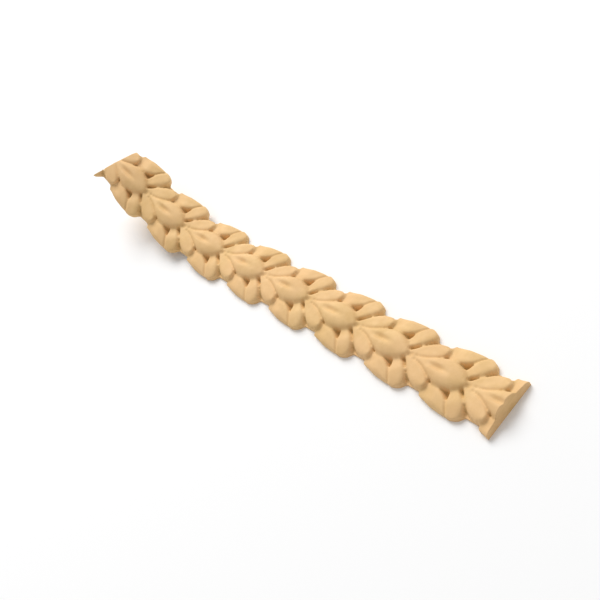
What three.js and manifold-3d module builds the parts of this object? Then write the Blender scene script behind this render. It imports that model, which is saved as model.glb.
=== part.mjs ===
// A bendable cast trim: a running leaf ornament on a domed body with a flat back.
// Millimetres, +Z up. The straight part of the back lies on Z = 0, the run goes along X,
// and the left end bends upward and a little sideways. The origin is the middle of the straight part.

import * as THREE from 'three';
import { mergeVertices } from 'three/addons/utils/BufferGeometryUtils.js';
import Module from 'manifold-3d';

// Driving dimensions
const STRAIGHT_LENGTH = 147; // right end to where the upward bend starts
const RISE_LENGTH = 104.5; // start of the upward bend to the left end
const SWEEP_LENGTH = 92.5; // start of the sideways bend to the left end
const RISE_ANGLE = 24.2; // slope of the left end, in degrees
const SWEEP_ANGLE = 11.7; // heading of the left end, in degrees
const LEFT_CUT_ANGLE = 17; // how far the left end's cut is from square in plan, in degrees
const LEFT_CUT_LEAN_ANGLE = 23; // how far the left end's cut leans back from upright, in degrees
const REPEAT = 30; // from one leaf group to the next
const PATTERN_START = 9.1; // left end to the heart of the first whole group
const WIDTH = 27; // across the tips of the widest leaves
const BODY_WIDTH = 19.6; // across the body between the leaves
const BODY_HEIGHT = 3.5; // back to the body's middle, under the leaves
const EDGE_HEIGHT = 1; // back to the upper edge of a side wall
const GAP_DEPTH = 2.3; // how deep the ground between two leaves lies under the body's dome
const BOSS_RISE = 3.6; // body to the crest of the middle lobe
const LEAF_RISE = 2.1; // body to the crown of a side leaf

// Values that only help the making
const SPARE = 2; // how far a piece reaches past the face that it is cut back to
const BEND_STEP = 0.5;
const BACK_STEP = 7.5;
const GROUND_FACETS = 2;
const LAST_RING_ANGLE = 76; // where the last ring of a leaf's tip lies on its quarter turn, in degrees

const RUN_LENGTH = STRAIGHT_LENGTH + RISE_LENGTH;
const HALF_WIDTH = WIDTH / 2;
const ORIGIN_RUN = RUN_LENGTH - STRAIGHT_LENGTH / 2;
const LEFT_CUT_SLANT = Math.tan(THREE.MathUtils.degToRad(LEFT_CUT_ANGLE));
const LEFT_CUT_LEAN = Math.tan(THREE.MathUtils.degToRad(LEFT_CUT_LEAN_ANGLE));

// The leaves of one group. Places along the run are shares of REPEAT from the group's heart, places and
// widths across it are shares of half the width. rootShare is the width at the root over the greatest
// width, which is reached at the share widest of the leaf's length. The crown is highest at the share
// crest, and rootRise and tipRise are its heights over the body there. facets are the rings up to the
// widest place, the rings from there to the tip, and the facets across.
const BOSS = {
  root: [-0.56, 0], bend: [-0.03, 0], tip: [0.46, 0],
  half: 0.435, rootShare: 0.14, swell: 1.6, widest: 0.65, bluntness: 1.8,
  rise: BOSS_RISE, rootRise: 0.16, crest: 0.66, tipRise: 0.50, doming: 0.95, facets: [4, 3, 8],
};
const SHOULDER_LEAF = {
  root: [-0.10, 0.635], bend: [0.18, 0.635], tip: [0.43, 0.955],
  half: 0.26, rootShare: 0.80, swell: 0.7, widest: 0.43, bluntness: 1.3,
  rise: LEAF_RISE, rootRise: 0.10, crest: 0.55, tipRise: 0.45, doming: 1.0, facets: [2, 3, 5],
};
const MIDDLE_LEAF = {
  root: [0.345, 0.265], bend: [0.47, 0.57], tip: [0.54, 0.97],
  half: 0.31, rootShare: 0.50, swell: 0.75, widest: 0.66, bluntness: 2.6,
  rise: LEAF_RISE, rootRise: 0.35, crest: 0.55, tipRise: 0.50, doming: 1.0, facets: [3, 3, 5],
};
const FORWARD_LEAF = {
  root: [0.43, 0.05], bend: [0.69, 0.34], tip: [0.96, 0.58],
  half: 0.28, rootShare: 0.28, swell: 0.85, widest: 0.62, bluntness: 2.4,
  rise: LEAF_RISE, rootRise: 0.42, crest: 0.72, tipRise: 0.95, doming: 1.0, facets: [3, 3, 5],
};

const wasm = await Module();
wasm.setup();

// How far a bend has turned at a place along the run, from 0 where it starts to 1 at the left end.
function bendShare(run, length) {
  const way = THREE.MathUtils.clamp((length - run) / length, 0, 1);
  return way ** 2 * (3 - 2 * way);
}

function frameAt(run) {
  const pitch = THREE.MathUtils.degToRad(RISE_ANGLE) * bendShare(run, RISE_LENGTH);
  const heading = -THREE.MathUtils.degToRad(SWEEP_ANGLE) * bendShare(run, SWEEP_LENGTH);
  const along = new THREE.Vector3(
    Math.cos(pitch) * Math.cos(heading),
    Math.cos(pitch) * Math.sin(heading),
    -Math.sin(pitch),
  );
  const across = new THREE.Vector3(-Math.sin(heading), Math.cos(heading), 0);
  const out = new THREE.Vector3().crossVectors(along, across);
  return { along, across, out };
}

// Points of the back's centreline in small steps, from the origin to one repeat past the left end.
const centreSteps = Math.ceil((ORIGIN_RUN + REPEAT) / BEND_STEP);
const centrePoints = [new THREE.Vector3()];
for (let i = 0; i < centreSteps; i += 1) {
  const middle = ORIGIN_RUN - (i + 0.5) * BEND_STEP;
  const { along } = frameAt(middle);
  centrePoints.push(centrePoints[i].clone().addScaledVector(along, -BEND_STEP));
}

function centreAt(run) {
  if (run >= ORIGIN_RUN) {
    return new THREE.Vector3(run - ORIGIN_RUN, 0, 0);
  }
  const place = Math.min((ORIGIN_RUN - run) / BEND_STEP, centreSteps - 1);
  const before = Math.floor(place);
  return centrePoints[before].clone().lerp(centrePoints[before + 1], place - before);
}

// A point given by its way along the run, across it and out of the back, bent into place.
function bent(run, across, height) {
  const frame = frameAt(run);
  return centreAt(run).addScaledVector(frame.across, across).addScaledVector(frame.out, height);
}

// A closed solid from rings of as many points each, with both ends capped.
function solidFromRings(rings) {
  const sides = rings[0].length;
  const points = rings.flat();
  const corners = [];
  for (let i = 0; i + 1 < rings.length; i += 1) {
    for (let j = 0; j < sides; j += 1) {
      const a = i * sides + j;
      const b = i * sides + ((j + 1) % sides);
      corners.push(a, b, b + sides, a, b + sides, a + sides);
    }
  }
  const last = (rings.length - 1) * sides;
  for (let j = 1; j + 1 < sides; j += 1) {
    corners.push(0, j + 1, j, last, last + j, last + j + 1);
  }
  const geometry = new THREE.BufferGeometry().setFromPoints(points);
  geometry.setIndex(corners);
  return solidFromGeometry(geometry);
}

function solidFromGeometry(geometry) {
  const bare = geometry.clone();
  bare.deleteAttribute('normal');
  bare.deleteAttribute('uv');
  const merged = mergeVertices(bare);
  return new wasm.Manifold(new wasm.Mesh({
    numProp: 3,
    vertProperties: new Float32Array(merged.attributes.position.array),
    triVerts: new Uint32Array(merged.index.array),
  }));
}

// Height of the domed body that the leaves lie on.
function bodyHeight(across) {
  const share = Math.min(Math.abs(across) / HALF_WIDTH, 1);
  return EDGE_HEIGHT + (BODY_HEIGHT - EDGE_HEIGHT) * (1 - share ** 2);
}

// Height of the ground in the gaps between the leaves.
function groundHeight(across) {
  return Math.max(bodyHeight(across) - GAP_DEPTH, EDGE_HEIGHT);
}

// Half the width of a leaf at a share of its length: it widens from the root and ends blunt.
function leafHalfWidth(leaf, t) {
  const before = Math.min(t / leaf.widest, 1);
  const past = Math.max((t - leaf.widest) / (1 - leaf.widest), 0);
  const swell = (0.5 - 0.5 * Math.cos(Math.PI * before)) ** leaf.swell;
  const tip = (1 - past ** leaf.bluntness) ** (1 / leaf.bluntness);
  return leaf.half * HALF_WIDTH * (leaf.rootShare + (1 - leaf.rootShare) * swell) * tip;
}

// How far a leaf's crown stands over the body: up from the root to the crest, then down to the tip.
function leafRise(leaf, t) {
  const before = 1 - Math.min(t / leaf.crest, 1);
  const past = Math.max((t - leaf.crest) / (1 - leaf.crest), 0);
  const up = 1 - (1 - leaf.rootRise) * (0.5 - 0.5 * Math.cos(Math.PI * before));
  const down = 1 - (1 - leaf.tipRise) * past ** 2;
  return leaf.rise * up * down;
}

function leafSpine(leaf) {
  const toPlan = ([u, v]) => new THREE.Vector2(u * REPEAT, v * HALF_WIDTH);
  return new THREE.QuadraticBezierCurve(toPlan(leaf.root), toPlan(leaf.bend), toPlan(leaf.tip));
}

// Shares of a leaf's length at which it gets a ring: even to the widest place, then closing up at the tip.
function leafStations(leaf) {
  const [bodySteps, tipSteps] = leaf.facets;
  const stations = [];
  for (let i = 0; i < bodySteps; i += 1) {
    stations.push(leaf.widest * i / bodySteps);
  }
  const lastAngle = THREE.MathUtils.degToRad(LAST_RING_ANGLE);
  for (let i = 0; i <= tipSteps; i += 1) {
    stations.push(leaf.widest + (1 - leaf.widest) * Math.sin(lastAngle * i / tipSteps));
  }
  return stations;
}

// One leaf: a domed top on side walls that go down past the back. side is 1 or -1.
function leafSolid(leaf, heart, side) {
  const spine = leafSpine(leaf);
  const acrossSteps = leaf.facets[2];
  const rings = leafStations(leaf).map((t) => {
    const centre = spine.getPoint(t);
    const tangent = spine.getTangent(t);
    const half = leafHalfWidth(leaf, t);
    const rise = leafRise(leaf, t);
    const section = [];
    const addPoint = (share, heightAt) => {
      const x = centre.x - tangent.y * half * share;
      const y = centre.y + tangent.x * half * share;
      section.push(bent(heart + x, side * y, heightAt(y)));
    };
    addPoint(1, () => -SPARE);
    for (let j = 0; j <= acrossSteps; j += 1) {
      const angle = Math.PI * j / acrossSteps;
      const dome = Math.sin(angle) ** leaf.doming;
      addPoint(Math.cos(angle), (y) => bodyHeight(y) + rise * dome);
    }
    addPoint(-1, () => -SPARE);
    return side > 0 ? section : section.reverse();
  });
  return solidFromRings(rings);
}

// A bar that follows the run between two places. Its section is a list of places across and heights,
// and shift moves its left end's points along the run, less and less over one repeat.
function barSolid(from, to, section, shift) {
  const places = [from];
  for (let run = from + BACK_STEP; run < RISE_LENGTH; run += BACK_STEP) {
    places.push(run);
  }
  places.push(RISE_LENGTH, to);
  const rings = places.map((run) => {
    const left = Math.max(0, 1 - (run - from) / REPEAT);
    return section.map(([across, height]) => bent(run + left * shift(across, height), across, height));
  });
  return solidFromRings(rings);
}

// The ground that joins the leaves, with a domed top.
function groundSolid() {
  const half = BODY_WIDTH / 2;
  const section = [[half, -SPARE]];
  for (let j = 0; j <= GROUND_FACETS; j += 1) {
    const across = half * (1 - 2 * j / GROUND_FACETS);
    section.push([across, groundHeight(across)]);
  }
  section.push([-half, -SPARE]);
  return barSolid(-REPEAT, RUN_LENGTH + SPARE, section, () => 0);
}

// The room that the moulding keeps: over the back and between the two end cuts.
function trimSolid() {
  const top = BODY_HEIGHT + BOSS_RISE + SPARE;
  const section = [[WIDTH, 0], [WIDTH, top], [-WIDTH, top], [-WIDTH, 0]];
  const cut = (across, height) => LEFT_CUT_SLANT * across + LEFT_CUT_LEAN * (height - BODY_HEIGHT);
  return barSolid(0, RUN_LENGTH, section, cut);
}

function leafGroup(heart) {
  const solids = [leafSolid(BOSS, heart, 1)];
  for (const side of [1, -1]) {
    for (const leaf of [SHOULDER_LEAF, MIDDLE_LEAF, FORWARD_LEAF]) {
      solids.push(leafSolid(leaf, heart, side));
    }
  }
  return solids;
}

function mouldingSolid() {
  let solid = groundSolid();
  for (let heart = PATTERN_START - REPEAT; heart < RUN_LENGTH + REPEAT; heart += REPEAT) {
    for (const leaf of leafGroup(heart)) {
      solid = solid.add(leaf);
    }
  }
  return solid.intersect(trimSolid());
}

function geometryFromSolid(solid) {
  const mesh = solid.getMesh();
  const geometry = new THREE.BufferGeometry();
  geometry.setAttribute('position', new THREE.BufferAttribute(new Float32Array(mesh.vertProperties), 3));
  geometry.setIndex([...mesh.triVerts]);
  return geometry;
}

const castWood = new THREE.MeshStandardMaterial({ color: 0xe6bd87, roughness: 0.72, metalness: 0 });
castWood.flatShading = true;

const moulding = new THREE.Mesh(geometryFromSolid(mouldingSolid()), castWood);
moulding.name = 'leaf_moulding';

const object = new THREE.Group();
object.add(moulding);

export default object;
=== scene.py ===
"""Bendable cast trim with a running leaf ornament: its fine shape and looks, the floor, light and camera.

The shape is worked out in millimetres on a straight run, then bent and scaled to the frame's metres.
"""

import math

import bpy
import numpy as np
from mathutils import Matrix, Vector


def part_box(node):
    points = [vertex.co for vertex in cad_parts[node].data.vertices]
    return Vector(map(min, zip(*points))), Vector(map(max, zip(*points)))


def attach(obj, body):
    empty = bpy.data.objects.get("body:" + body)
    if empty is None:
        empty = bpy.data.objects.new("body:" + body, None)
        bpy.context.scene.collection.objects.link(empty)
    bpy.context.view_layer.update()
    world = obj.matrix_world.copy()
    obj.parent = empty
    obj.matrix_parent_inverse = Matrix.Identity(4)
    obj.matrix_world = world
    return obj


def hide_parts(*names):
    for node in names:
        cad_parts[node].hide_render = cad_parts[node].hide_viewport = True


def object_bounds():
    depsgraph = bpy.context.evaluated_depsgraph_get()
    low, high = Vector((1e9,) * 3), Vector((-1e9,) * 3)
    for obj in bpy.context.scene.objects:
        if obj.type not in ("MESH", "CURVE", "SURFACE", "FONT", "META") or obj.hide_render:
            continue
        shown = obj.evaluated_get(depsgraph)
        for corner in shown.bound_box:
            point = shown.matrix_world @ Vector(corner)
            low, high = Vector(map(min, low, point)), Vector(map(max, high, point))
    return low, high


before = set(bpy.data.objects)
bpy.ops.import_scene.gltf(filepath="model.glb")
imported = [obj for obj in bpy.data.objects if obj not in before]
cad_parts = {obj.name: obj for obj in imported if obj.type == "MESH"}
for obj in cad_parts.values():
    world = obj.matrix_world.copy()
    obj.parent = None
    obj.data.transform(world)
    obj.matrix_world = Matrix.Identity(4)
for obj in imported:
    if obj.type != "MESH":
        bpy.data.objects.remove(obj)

cad_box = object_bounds()

NODE = "leaf_moulding"
PIECE = "carved_moulding"
MM = 0.001

# The run, in millimetres from the left end. The frame's origin is the middle of its straight part.
STRAIGHT_LENGTH = round(2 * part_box(NODE)[1].x / MM, 3)
RISE_LENGTH = 104.5  # left end to the start of the upward bend
SWEEP_LENGTH = 92.5  # left end to the start of the sideways bend
RISE_ANGLE = math.radians(24.2)
SWEEP_ANGLE = math.radians(11.7)
RUN_LENGTH = STRAIGHT_LENGTH + RISE_LENGTH
ORIGIN_RUN = RUN_LENGTH - STRAIGHT_LENGTH / 2

# Slopes of the cut at the left end
LEFT_CUT_SLANT = math.tan(math.radians(17))  # from square, in plan
LEFT_CUT_LEAN = math.tan(math.radians(23))  # back from upright

# The body, in millimetres
WIDTH = 27  # across the tips of the widest leaves
HALF_WIDTH = WIDTH / 2
WIDEST_REACH = -cad_box[0][1] / MM  # the solid's middle to its furthest leaf tip
BODY_WIDTH = 19.6  # across the body between the leaves
BODY_HEIGHT = 3.5  # back to the body's middle, under the leaves
EDGE_HEIGHT = 1.0  # back to the upper edge of a side wall
GAP_DEPTH = 2.3  # how deep the ground between two leaves lies under the body's dome

# The ornament, in millimetres
REPEAT = 30  # from one leaf group to the next
PATTERN_START = 9.1  # left end to the first heart of a leaf group
GROUP_REACH = 1.3  # how far a group can reach from its heart, in repeats
BOSS_RISE = 3.4  # body to the crest of the middle lobe
LEAF_RISE = 2.1  # body to the crown of a side leaf

# The groove on the crown of each middle lobe, in millimetres
VEIN_LENGTH = 11.5
VEIN_WIDTH = 2.0
VEIN_DEPTH = 1.5
VEIN_FADE = 1.4  # how sharply its ends fade out

# The shallow hollow along each side leaf
SPOON_DEPTH = 0.5  # in millimetres
SPOON_WIDTH = 0.55  # in half widths of the leaf

# Where leaves meet, in millimetres of height
SOFT_JOIN = 0.12  # the gap in height that a soft join bridges
CREASE_DEPTH = 0.8  # of the crease between two leaves that are level
CREASE_REACH = 0.35  # the gap in height at which the crease has mostly gone

# Fineness of the mesh
STATION_STEP = 0.36  # along the run, in millimetres
COLUMNS = 76  # strips across the run
COLUMN_CROWDING = math.radians(74)  # the nearer a right angle, the finer the strips by the side walls
OUTLINE_STEP = 0.05  # in millimetres
OUTLINE_SEARCH = 1.1  # how far out the outline is looked for, in half widths
OUTLINE_SOFTNESS = 2  # stations on either side that the outline is averaged with
BEND_STEP = 0.5  # in millimetres
SPINE_POINTS = 48  # on a leaf's middle line
LEAST_HALF_WIDTH = 1e-6  # of a leaf past its tip, so that nothing is divided by nought
LEAN_STEPS = 6  # moves towards the leaning cut
WORN_STEPS = 3  # rounds of blurring that wear the carving
HOLLOW_STEPS = 14  # rounds of blurring that give the surface around a hollow
CAVITY = "cavity"  # the mesh's attribute for depth below the surface around, which places the brown painted shade in the hollows

# The leaves of one group. root, bend and tip give the middle line's curve, in repeats along the run and
# in shares of the half width across it. half is half the greatest width, reached at the share widest of
# the length, and root_share is the part of it at the root. swell is how late the leaf widens, and
# bluntness how blunt its tip is. rise is the crown's height over the body at the crest, and root_rise
# and tip_rise are its shares at the ends. doming is 1 for a round section, and less where it is flatter
# with steep sides.
BOSS = {
    "root": (-0.56, 0), "bend": (-0.03, 0), "tip": (0.46, 0),
    "half": 0.435, "root_share": 0.14, "swell": 1.6, "widest": 0.65, "bluntness": 1.8,
    "rise": BOSS_RISE, "root_rise": 0.16, "crest": 0.62, "tip_rise": 0.42, "doming": 0.75,
}
SHOULDER_LEAF = {
    "root": (-0.10, 0.635), "bend": (0.18, 0.585), "tip": (0.43, 0.955),
    "half": 0.27, "root_share": 0.80, "swell": 0.7, "widest": 0.45, "bluntness": 1.5,
    "rise": LEAF_RISE, "root_rise": 0.10, "crest": 0.55, "tip_rise": 0.45, "doming": 1.0,
}
MIDDLE_LEAF = {
    "root": (0.345, 0.265), "bend": (0.47, 0.57), "tip": (0.54, 0.955),
    "half": 0.31, "root_share": 0.50, "swell": 0.75, "widest": 0.66, "bluntness": 2.6,
    "rise": LEAF_RISE, "root_rise": 0.35, "crest": 0.55, "tip_rise": 0.50, "doming": 1.0,
}
FORWARD_LEAF = {
    "root": (0.43, 0.05), "bend": (0.69, 0.34), "tip": (0.96, 0.58),
    "half": 0.28, "root_share": 0.28, "swell": 0.85, "widest": 0.62, "bluntness": 2.4,
    "rise": LEAF_RISE, "root_rise": 0.42, "crest": 0.72, "tip_rise": 0.95, "doming": 1.0,
}
LEAVES = (BOSS, SHOULDER_LEAF, MIDDLE_LEAF, FORWARD_LEAF)

# Colours of the cast material and a brown for painted shade in the hollows, and the greatest share that
# patches, the hollows' painted shade and worn crowns cover
TAN = (0.70, 0.45, 0.19, 1)
PALE = (0.81, 0.535, 0.25, 1)
ROSY = (0.80, 0.49, 0.255, 1)
# painted shade: a brown that darkens the hollows and creases where shade falls
HOLLOW_SHADE_BROWN = (0.46, 0.30, 0.08, 1)
ROSY_COVER = 0.35
HOLLOW_SHADE_COVER = 0.5
WORN_COVER = 0.45

# Noises of the cast material, as waves in a metre, detail and roughness, with the part that is used
MOTTLE = (140, 5, 0.6)
MOTTLE_RANGE = (0.35, 0.65)
PATCHES = (45, 2, 0.5)
PATCH_RANGE = (0.4, 0.6)
DULLNESS = (420, 3, 0.5)
DULLNESS_RANGE = (0.3, 0.7)
GRAIN = (1600, 4, 0.6)

# Depths below the surface around, in millimetres, where a colour starts and where it is full: the brown
# painted shade in the hollows, then the pale of worn crowns
HOLLOW_SHADE_DEPTHS = (0.1, 1.0)
WORN_DEPTHS = (-0.15, -0.7)

# The cast material's shine and fine grain
ROUGHNESS = (0.62, 0.8)
SPECULAR = 0.3
GRAIN_STRENGTH = 0.35
GRAIN_HEIGHT = 0.0003  # in metres

# Numbers of the sockets on a Mix node that mixes colours
MIX_SHARE = 0
MIX_FIRST = 6
MIX_SECOND = 7
MIX_RESULT = 2

# The floor
FLOOR_REACH = 3.0  # from the origin to each side, in metres
FLOOR_COLOUR = (0.93, 0.93, 0.93, 1)
FLOOR_ROUGHNESS = 0.9

# The camera at the photograph's angle
CAMERA_AZIMUTH = math.radians(75.409)
CAMERA_ELEVATION = math.radians(43.047)
CAMERA_ROLL = math.radians(-40.314)
CAMERA_AIM = Vector((-0.04186, -0.00104, 0))  # in metres
CAMERA_DISTANCE = 0.4932  # in metres
CAMERA_LENS = 71.98  # in millimetres
CAMERA_SENSOR = 36  # in millimetres
CAMERA_NEAREST = 0.01  # in metres

# The key light and the even light all round
KEY_DIRECTION = (-0.45, 0.88, 0.02)  # in the camera's own axes
KEY_DISTANCE = 2.4  # in metres
KEY_SIZE = 1.7  # in metres
KEY_POWER = 53  # in watts
FILL_COLOUR = (1, 1, 1, 1)
FILL_STRENGTH = 0.52


def bend_share(run, length):
    """How far a bend has turned, from 0 where it starts to 1 at the left end."""
    way = np.clip((length - run) / length, 0, 1)
    return way**2 * (3 - 2 * way)


def bend_frame(run):
    """Unit vectors along the run, across it and from the back to the top, at each place of an array."""
    pitch = RISE_ANGLE * bend_share(run, RISE_LENGTH)
    heading = -SWEEP_ANGLE * bend_share(run, SWEEP_LENGTH)
    level = np.cos(pitch)
    along = np.stack([level * np.cos(heading), level * np.sin(heading), -np.sin(pitch)], -1)
    across = np.stack([-np.sin(heading), np.cos(heading), np.zeros_like(heading)], -1)
    return along, across, np.cross(along, across)


def centreline(run):
    """Points of the back's centreline at each place of an array, worked out from the origin leftwards."""
    steps = math.ceil((ORIGIN_RUN + REPEAT) / BEND_STEP)
    middles = ORIGIN_RUN - (np.arange(steps) + 0.5) * BEND_STEP
    moves = -BEND_STEP * bend_frame(middles)[0]
    points = np.vstack([np.zeros((1, 3)), np.cumsum(moves, axis=0)])
    way = (ORIGIN_RUN - run) / BEND_STEP
    curved = np.stack([np.interp(way, np.arange(steps + 1), points[:, axis]) for axis in range(3)], -1)
    straight = np.stack([run - ORIGIN_RUN, np.zeros_like(run), np.zeros_like(run)], -1)
    return np.where((run >= ORIGIN_RUN)[..., None], straight, curved)


def bent(run, across, height):
    """Points given by their way along the run, across it and up from the back, bent into place."""
    _, side, out = bend_frame(run)
    return centreline(run) + side * across[..., None] + out * height[..., None]


def eased(share):
    """A share from 0 to 1 with a gentle start and end."""
    return 0.5 - 0.5 * np.cos(np.pi * share)


def leaf_half_width(leaf, share):
    """Half the width of a leaf at shares of its length: it widens from the root and ends blunt."""
    full = leaf["half"] * HALF_WIDTH
    swell = eased(np.clip(share / leaf["widest"], 0, 1)) ** leaf["swell"]
    body = leaf["root_share"] + (1 - leaf["root_share"]) * swell
    past = np.clip((share - leaf["widest"]) / (1 - leaf["widest"]), 0, 1)
    tip = (1 - past ** leaf["bluntness"]) ** (1 / leaf["bluntness"])
    return full * body * tip


def leaf_rise(leaf, share):
    """How far a leaf's crown stands over the body: up from the root to the crest, then down to the tip."""
    before = 1 - np.clip(share / leaf["crest"], 0, 1)
    after = np.clip((share - leaf["crest"]) / (1 - leaf["crest"]), 0, 1)
    up = 1 - (1 - leaf["root_rise"]) * eased(before)
    down = 1 - (1 - leaf["tip_rise"]) * after**2
    return leaf["rise"] * up * down


def leaf_spine(leaf):
    """Points of a leaf's middle line in plan: their shares of its length, places, directions and speeds."""
    share = np.linspace(0, 1, SPINE_POINTS)[:, None]
    root, bend, tip = (np.array(leaf[name]) * (REPEAT, HALF_WIDTH) for name in ("root", "bend", "tip"))
    points = root * (1 - share) ** 2 + bend * 2 * share * (1 - share) + tip * share**2
    velocity = 2 * (bend - root) * (1 - share) + 2 * (tip - bend) * share
    speed = np.linalg.norm(velocity, axis=1)
    return share[:, 0], points, velocity / speed[:, None], speed


def leaf_place(leaf, x, y):
    """Shares of a leaf's length and half width at points in plan, measured from the group's heart."""
    share, points, direction, speed = leaf_spine(leaf)
    offset = np.stack([x, y], -1)[..., None, :] - points
    nearest = np.argmin((offset**2).sum(-1), axis=-1)
    gap = np.take_along_axis(offset, nearest[..., None, None], axis=-2)[..., 0, :]
    heading = direction[nearest]
    ahead = (gap * heading).sum(-1)
    sideways = gap[..., 1] * heading[..., 0] - gap[..., 0] * heading[..., 1]
    along = share[nearest] + ahead / speed[nearest]
    half = np.maximum(leaf_half_width(leaf, along), LEAST_HALF_WIDTH)
    return along, sideways / half


def body_height(across):
    """Height of the domed body that the leaves lie on."""
    share = np.clip(np.abs(across) / HALF_WIDTH, 0, 1)
    return EDGE_HEIGHT + (BODY_HEIGHT - EDGE_HEIGHT) * (1 - share**2)


def ground_height(across):
    """Height of the ground in the gaps between the leaves."""
    return np.maximum(body_height(across) - GAP_DEPTH, EDGE_HEIGHT)


def leaf_height(leaf, x, y):
    """Height of a leaf's top at points in plan, or minus infinity where it isn't."""
    along, share = leaf_place(leaf, x, y)
    dome = np.clip(1 - share**2, 0, 1) ** (leaf["doming"] / 2)
    height = body_height(y) + leaf_rise(leaf, along) * dome
    if leaf is not BOSS:
        hollow = np.sin(np.pi * np.clip(along, 0, 1)) * np.exp(-((share / SPOON_WIDTH) ** 2))
        height -= SPOON_DEPTH * hollow
    inside = (np.abs(share) <= 1) & (along >= 0) & (along <= 1)
    return np.where(inside, height, -np.inf)


def group_hearts():
    """Places of the leaf groups' hearts along the run, with one beyond each end."""
    first = PATTERN_START - REPEAT
    return np.arange(first, RUN_LENGTH + REPEAT, REPEAT)


def near(places, heart):
    """Which stations a group's leaves can reach."""
    return np.abs(places - heart) < GROUP_REACH * REPEAT


def cut_share(place):
    """How far the stations follow the left cut: wholly at its place, no more one repeat on."""
    return np.clip(1 - place / REPEAT, 0, 1)


def slanted(place, across):
    """Way along the run of a station's points at the body's height. The left cut slants."""
    return place + LEFT_CUT_SLANT * across * cut_share(place)


def lean_at(height, place):
    """How far the leaning left cut moves a station's points of one height along the run."""
    return LEFT_CUT_LEAN * (height - BODY_HEIGHT) * cut_share(place)


def leaning(run, place, across):
    """Way along the run of a station's top points, as the left cut leans back.

    A point's height depends on its place, so it moves half way to where it should be, some times over.
    """
    rows = place[:, 0] < REPEAT
    moved = run.copy()
    for _ in range(LEAN_STEPS):
        top = relief(moved[rows], across[rows])
        wanted = run[rows] + lean_at(top, place[rows])
        moved[rows] = (moved[rows] + wanted) / 2
    return moved


def outline(places, side):
    """How far the moulding reaches to one side at each station, from the leaf that reaches furthest."""
    across = np.arange(0, HALF_WIDTH * OUTLINE_SEARCH, OUTLINE_STEP)
    reach = np.full(places.shape, BODY_WIDTH / 2)
    for heart in group_hearts():
        here = near(places, heart)
        place, y = np.meshgrid(places[here], across, indexing="ij")
        x = slanted(place, side * y) + lean_at(EDGE_HEIGHT, place) - heart
        for leaf in LEAVES[1:]:
            covered = np.isfinite(leaf_height(leaf, x, y))
            furthest = np.where(covered, y, 0).max(axis=1)
            reach[here] = np.maximum(reach[here], furthest)
    padded = np.pad(np.minimum(reach, WIDEST_REACH), OUTLINE_SOFTNESS, mode="edge")
    window = 2 * OUTLINE_SOFTNESS + 1
    return np.convolve(padded, np.ones(window) / window, mode="valid")


def relief(run, across):
    """Height of the carved top over a grid of places. Leaves join softly, with a crease between them."""
    heights = [ground_height(across)]
    for heart in group_hearts():
        here = near(run.mean(axis=1), heart)
        if not here.any():
            continue
        x = run[here] - heart
        y = np.abs(across[here])
        for leaf in LEAVES:
            height = np.full(run.shape, -np.inf)
            height[here] = leaf_height(leaf, x, y)
            heights.append(height)
    stack = np.array(heights)
    top = stack.max(axis=0)
    joined = top + SOFT_JOIN * np.log(np.exp((stack - top) / SOFT_JOIN).sum(axis=0))
    second, first = np.partition(stack[1:], -2, axis=0)[-2:]
    two_leaves = np.isfinite(second)
    step = np.where(two_leaves, first, np.inf) - np.where(two_leaves, second, 0)
    return joined - CREASE_DEPTH * np.exp(-((step / CREASE_REACH) ** 2))


def vein(run, across):
    """Depth of the long shallow groove on the crown of every middle lobe."""
    depth = np.zeros(run.shape)
    for heart in group_hearts():
        along = (run - heart) / (VEIN_LENGTH / 2)
        sideways = across / (VEIN_WIDTH / 2)
        depth += VEIN_DEPTH * np.exp(-VEIN_FADE * along**2 - sideways**2)
    return depth


def blurred(field, steps):
    """A field averaged with its four neighbours on the grid, some times over."""
    for _ in range(steps):
        padded = np.pad(field, 1, mode="edge")
        neighbours = padded[:-2, 1:-1] + padded[2:, 1:-1] + padded[1:-1, :-2] + padded[1:-1, 2:]
        field = (field + neighbours / 4) / 2
    return field


def station_grid():
    """Stations along the run by columns across it: each point's station and its place across."""
    stations = math.ceil(RUN_LENGTH / STATION_STEP) + 1
    places = np.linspace(0, RUN_LENGTH, stations)
    angles = np.linspace(-COLUMN_CROWDING, COLUMN_CROWDING, COLUMNS + 1)
    shares = np.sin(angles) / math.sin(COLUMN_CROWDING)
    place, share = np.meshgrid(places, shares, indexing="ij")
    half = np.where(share < 0, outline(places, -1)[:, None], outline(places, 1)[:, None])
    return place, share * half


def top_points(place, across):
    """Points of the carved top, and how deep each lies below the surface around it."""
    run = leaning(slanted(place, across), place, across)
    top = blurred(relief(run, across) - vein(run, across), WORN_STEPS)
    cavity = blurred(top, HOLLOW_STEPS) - top
    return bent(run, across, top).reshape(-1, 3), cavity.reshape(-1)


def back_points(place, across):
    """Points of the flat back's two long edges, station by station."""
    place = place[:, [0, -1]]
    across = across[:, [0, -1]]
    run = slanted(place, across) + lean_at(0, place)
    return bent(run, across, np.zeros_like(run)).reshape(-1, 3)


def moulding_faces(rows, columns):
    """The carved top's faces, then the back's and the side walls', then the left and the right end."""
    index = np.arange(rows * columns).reshape(rows, columns)
    squares = np.stack([index[:-1, :-1], index[1:, :-1], index[1:, 1:], index[:-1, 1:]], -1)
    faces = squares.reshape(-1, 4).tolist()
    top = index.tolist()
    back = (index.size + np.arange(rows * 2)).reshape(rows, 2).tolist()
    for row in range(rows - 1):
        ahead = row + 1
        faces.append([back[row][0], back[row][1], back[ahead][1], back[ahead][0]])
        faces.append([back[row][0], back[ahead][0], top[ahead][0], top[row][0]])
        faces.append([back[ahead][1], back[row][1], top[row][-1], top[ahead][-1]])
    faces.append([back[0][1], back[0][0], *top[0]])
    faces.append([back[-1][0], back[-1][1], *top[-1][::-1]])
    return faces


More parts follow.
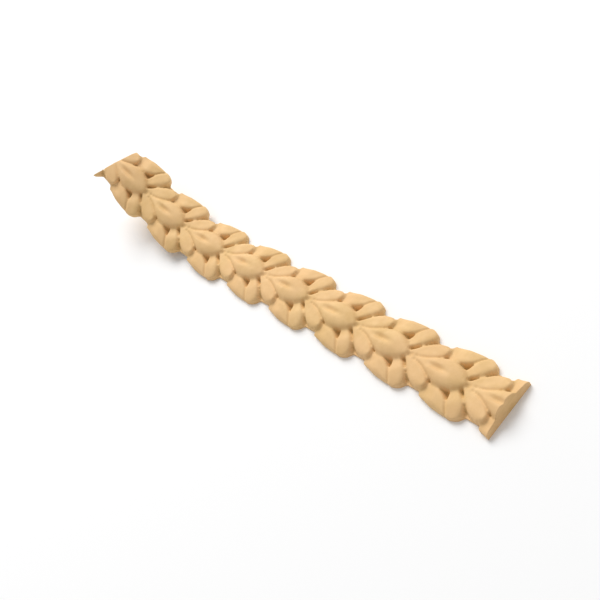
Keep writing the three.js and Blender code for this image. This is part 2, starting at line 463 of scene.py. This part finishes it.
def moulding_mesh():
    """The moulding as one closed mesh: carved top, flat back, side walls, a leaning and a square end."""
    place, across = station_grid()
    carved, cavity = top_points(place, across)
    back = back_points(place, across)
    mesh = bpy.data.meshes.new(PIECE)
    points = np.vstack([carved, back]) * MM
    mesh.from_pydata(points.tolist(), [], moulding_faces(*place.shape))
    attribute = mesh.attributes.new(CAVITY, "FLOAT", "POINT")
    values = np.concatenate([cavity, np.zeros(len(back))])
    attribute.data.foreach_set("value", values.astype(np.float32))
    carved_faces = (place.shape[0] - 1) * COLUMNS
    smooth = np.arange(len(mesh.polygons)) < carved_faces
    mesh.polygons.foreach_set("use_smooth", smooth)
    mesh.update()
    return mesh


def connect(tree, value, socket):
    """Link a node's output to a socket, or set the socket to a plain value."""
    if isinstance(value, bpy.types.NodeSocket):
        tree.links.new(value, socket)
    else:
        socket.default_value = value


def mixed(tree, share, first, second):
    """Two colours mixed, by the second one's share."""
    node = tree.nodes.new("ShaderNodeMix")
    node.data_type = "RGBA"
    connect(tree, share, node.inputs[MIX_SHARE])
    connect(tree, first, node.inputs[MIX_FIRST])
    connect(tree, second, node.inputs[MIX_SECOND])
    return node.outputs[MIX_RESULT]


def mapped(tree, value, before, after):
    """A value carried from one range to another, and held at the ends."""
    node = tree.nodes.new("ShaderNodeMapRange")
    node.inputs["From Min"].default_value = before[0]
    node.inputs["From Max"].default_value = before[1]
    node.inputs["To Min"].default_value = after[0]
    node.inputs["To Max"].default_value = after[1]
    connect(tree, value, node.inputs["Value"])
    return node.outputs["Result"]


def noise(tree, place, kind):
    """One of the material's noises, fixed to the piece."""
    scale, detail, roughness = kind
    node = tree.nodes.new("ShaderNodeTexNoise")
    node.inputs["Scale"].default_value = scale
    node.inputs["Detail"].default_value = detail
    node.inputs["Roughness"].default_value = roughness
    connect(tree, place, node.inputs["Vector"])
    return node.outputs["Fac"]


def cast_colour(tree, place):
    """Tan and pale mottle with rosy patches, brown painted shade in the hollows and pale where the crowns
    are worn.
    """
    cavity = tree.nodes.new("ShaderNodeAttribute")
    cavity.attribute_name = CAVITY
    depth = cavity.outputs["Fac"]
    mottle = mapped(tree, noise(tree, place, MOTTLE), MOTTLE_RANGE, (0, 1))
    patches = mapped(tree, noise(tree, place, PATCHES), PATCH_RANGE, (0, ROSY_COVER))
    # painted shade: brown mixed in where the surface lies below the surface around
    hollow = mapped(tree, depth, HOLLOW_SHADE_DEPTHS, (0, HOLLOW_SHADE_COVER))
    worn = mapped(tree, depth, WORN_DEPTHS, (0, WORN_COVER))
    colour = mixed(tree, mottle, TAN, PALE)
    colour = mixed(tree, patches, colour, ROSY)
    colour = mixed(tree, hollow, colour, HOLLOW_SHADE_BROWN)
    return mixed(tree, worn, colour, PALE)


def cast_grain(tree, place):
    """The very fine bumps of the cast surface."""
    bump = tree.nodes.new("ShaderNodeBump")
    bump.inputs["Strength"].default_value = GRAIN_STRENGTH
    bump.inputs["Distance"].default_value = GRAIN_HEIGHT
    connect(tree, noise(tree, place, GRAIN), bump.inputs["Height"])
    return bump.outputs["Normal"]


def material_cast():
    """Warm tan cast pulp and resin: mottled, with painted shade darkening the hollows, dull."""
    material = bpy.data.materials.new("cast_tan")
    material.use_nodes = True
    tree = material.node_tree
    shader = tree.nodes["Principled BSDF"]
    place = tree.nodes.new("ShaderNodeTexCoord").outputs["Object"]
    dullness = mapped(tree, noise(tree, place, DULLNESS), DULLNESS_RANGE, ROUGHNESS)
    connect(tree, cast_colour(tree, place), shader.inputs["Base Color"])
    connect(tree, dullness, shader.inputs["Roughness"])
    connect(tree, cast_grain(tree, place), shader.inputs["Normal"])
    shader.inputs["Specular IOR Level"].default_value = SPECULAR
    return material


def moulding():
    """The carved moulding, which stands for the solid."""
    piece = bpy.data.objects.new(PIECE, moulding_mesh())
    bpy.context.collection.objects.link(piece)
    piece.data.materials.append(material_cast())
    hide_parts(NODE)
    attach(piece, "root")


def material_floor():
    """Pale matt floor."""
    material = bpy.data.materials.new("pale_floor")
    material.use_nodes = True
    shader = material.node_tree.nodes["Principled BSDF"]
    shader.inputs["Base Color"].default_value = FLOOR_COLOUR
    shader.inputs["Roughness"].default_value = FLOOR_ROUGHNESS
    return material


def floor():
    """A wide floor in the plane of the back."""
    sides = ((-1, -1), (1, -1), (1, 1), (-1, 1))
    corners = [(x * FLOOR_REACH, y * FLOOR_REACH, 0) for x, y in sides]
    mesh = bpy.data.meshes.new("floor")
    mesh.from_pydata(corners, [], [(0, 1, 2, 3)])
    mesh.materials.append(material_floor())
    piece = bpy.data.objects.new("floor", mesh)
    bpy.context.collection.objects.link(piece)


def camera():
    """The camera at the photograph's angle. Returns its axes."""
    back = Vector((
        math.sin(CAMERA_AZIMUTH) * math.cos(CAMERA_ELEVATION),
        -math.cos(CAMERA_AZIMUTH) * math.cos(CAMERA_ELEVATION),
        math.sin(CAMERA_ELEVATION),
    ))
    data = bpy.data.cameras.new("camera")
    data.lens = CAMERA_LENS
    data.sensor_width = CAMERA_SENSOR
    data.sensor_fit = "HORIZONTAL"
    data.clip_start = CAMERA_NEAREST
    item = bpy.data.objects.new("camera", data)
    bpy.context.collection.objects.link(item)
    axes = back.to_track_quat("Z", "Y").to_matrix() @ Matrix.Rotation(CAMERA_ROLL, 3, "Z")
    item.matrix_world = Matrix.Translation(CAMERA_AIM + back * CAMERA_DISTANCE) @ axes.to_4x4()
    bpy.context.scene.camera = item
    return axes


def key_light(axes):
    """A square soft light from the upper left of the camera's view."""
    data = bpy.data.lights.new("key", "AREA")
    data.shape = "SQUARE"
    data.size = KEY_SIZE
    data.energy = KEY_POWER
    item = bpy.data.objects.new("key", data)
    bpy.context.collection.objects.link(item)
    way = (axes @ Vector(KEY_DIRECTION)).normalized()
    item.rotation_euler = way.to_track_quat("Z", "Y").to_euler()
    item.location = CAMERA_AIM + way * KEY_DISTANCE


def studio(axes):
    """The key light, and an even white light all round."""
    key_light(axes)
    world = bpy.data.worlds.new("studio")
    bpy.context.scene.world = world
    world.use_nodes = True
    background = world.node_tree.nodes["Background"]
    background.inputs["Color"].default_value = FILL_COLOUR
    background.inputs["Strength"].default_value = FILL_STRENGTH
    bpy.context.scene.view_settings.view_transform = "Standard"


moulding()
floor()
studio(camera())
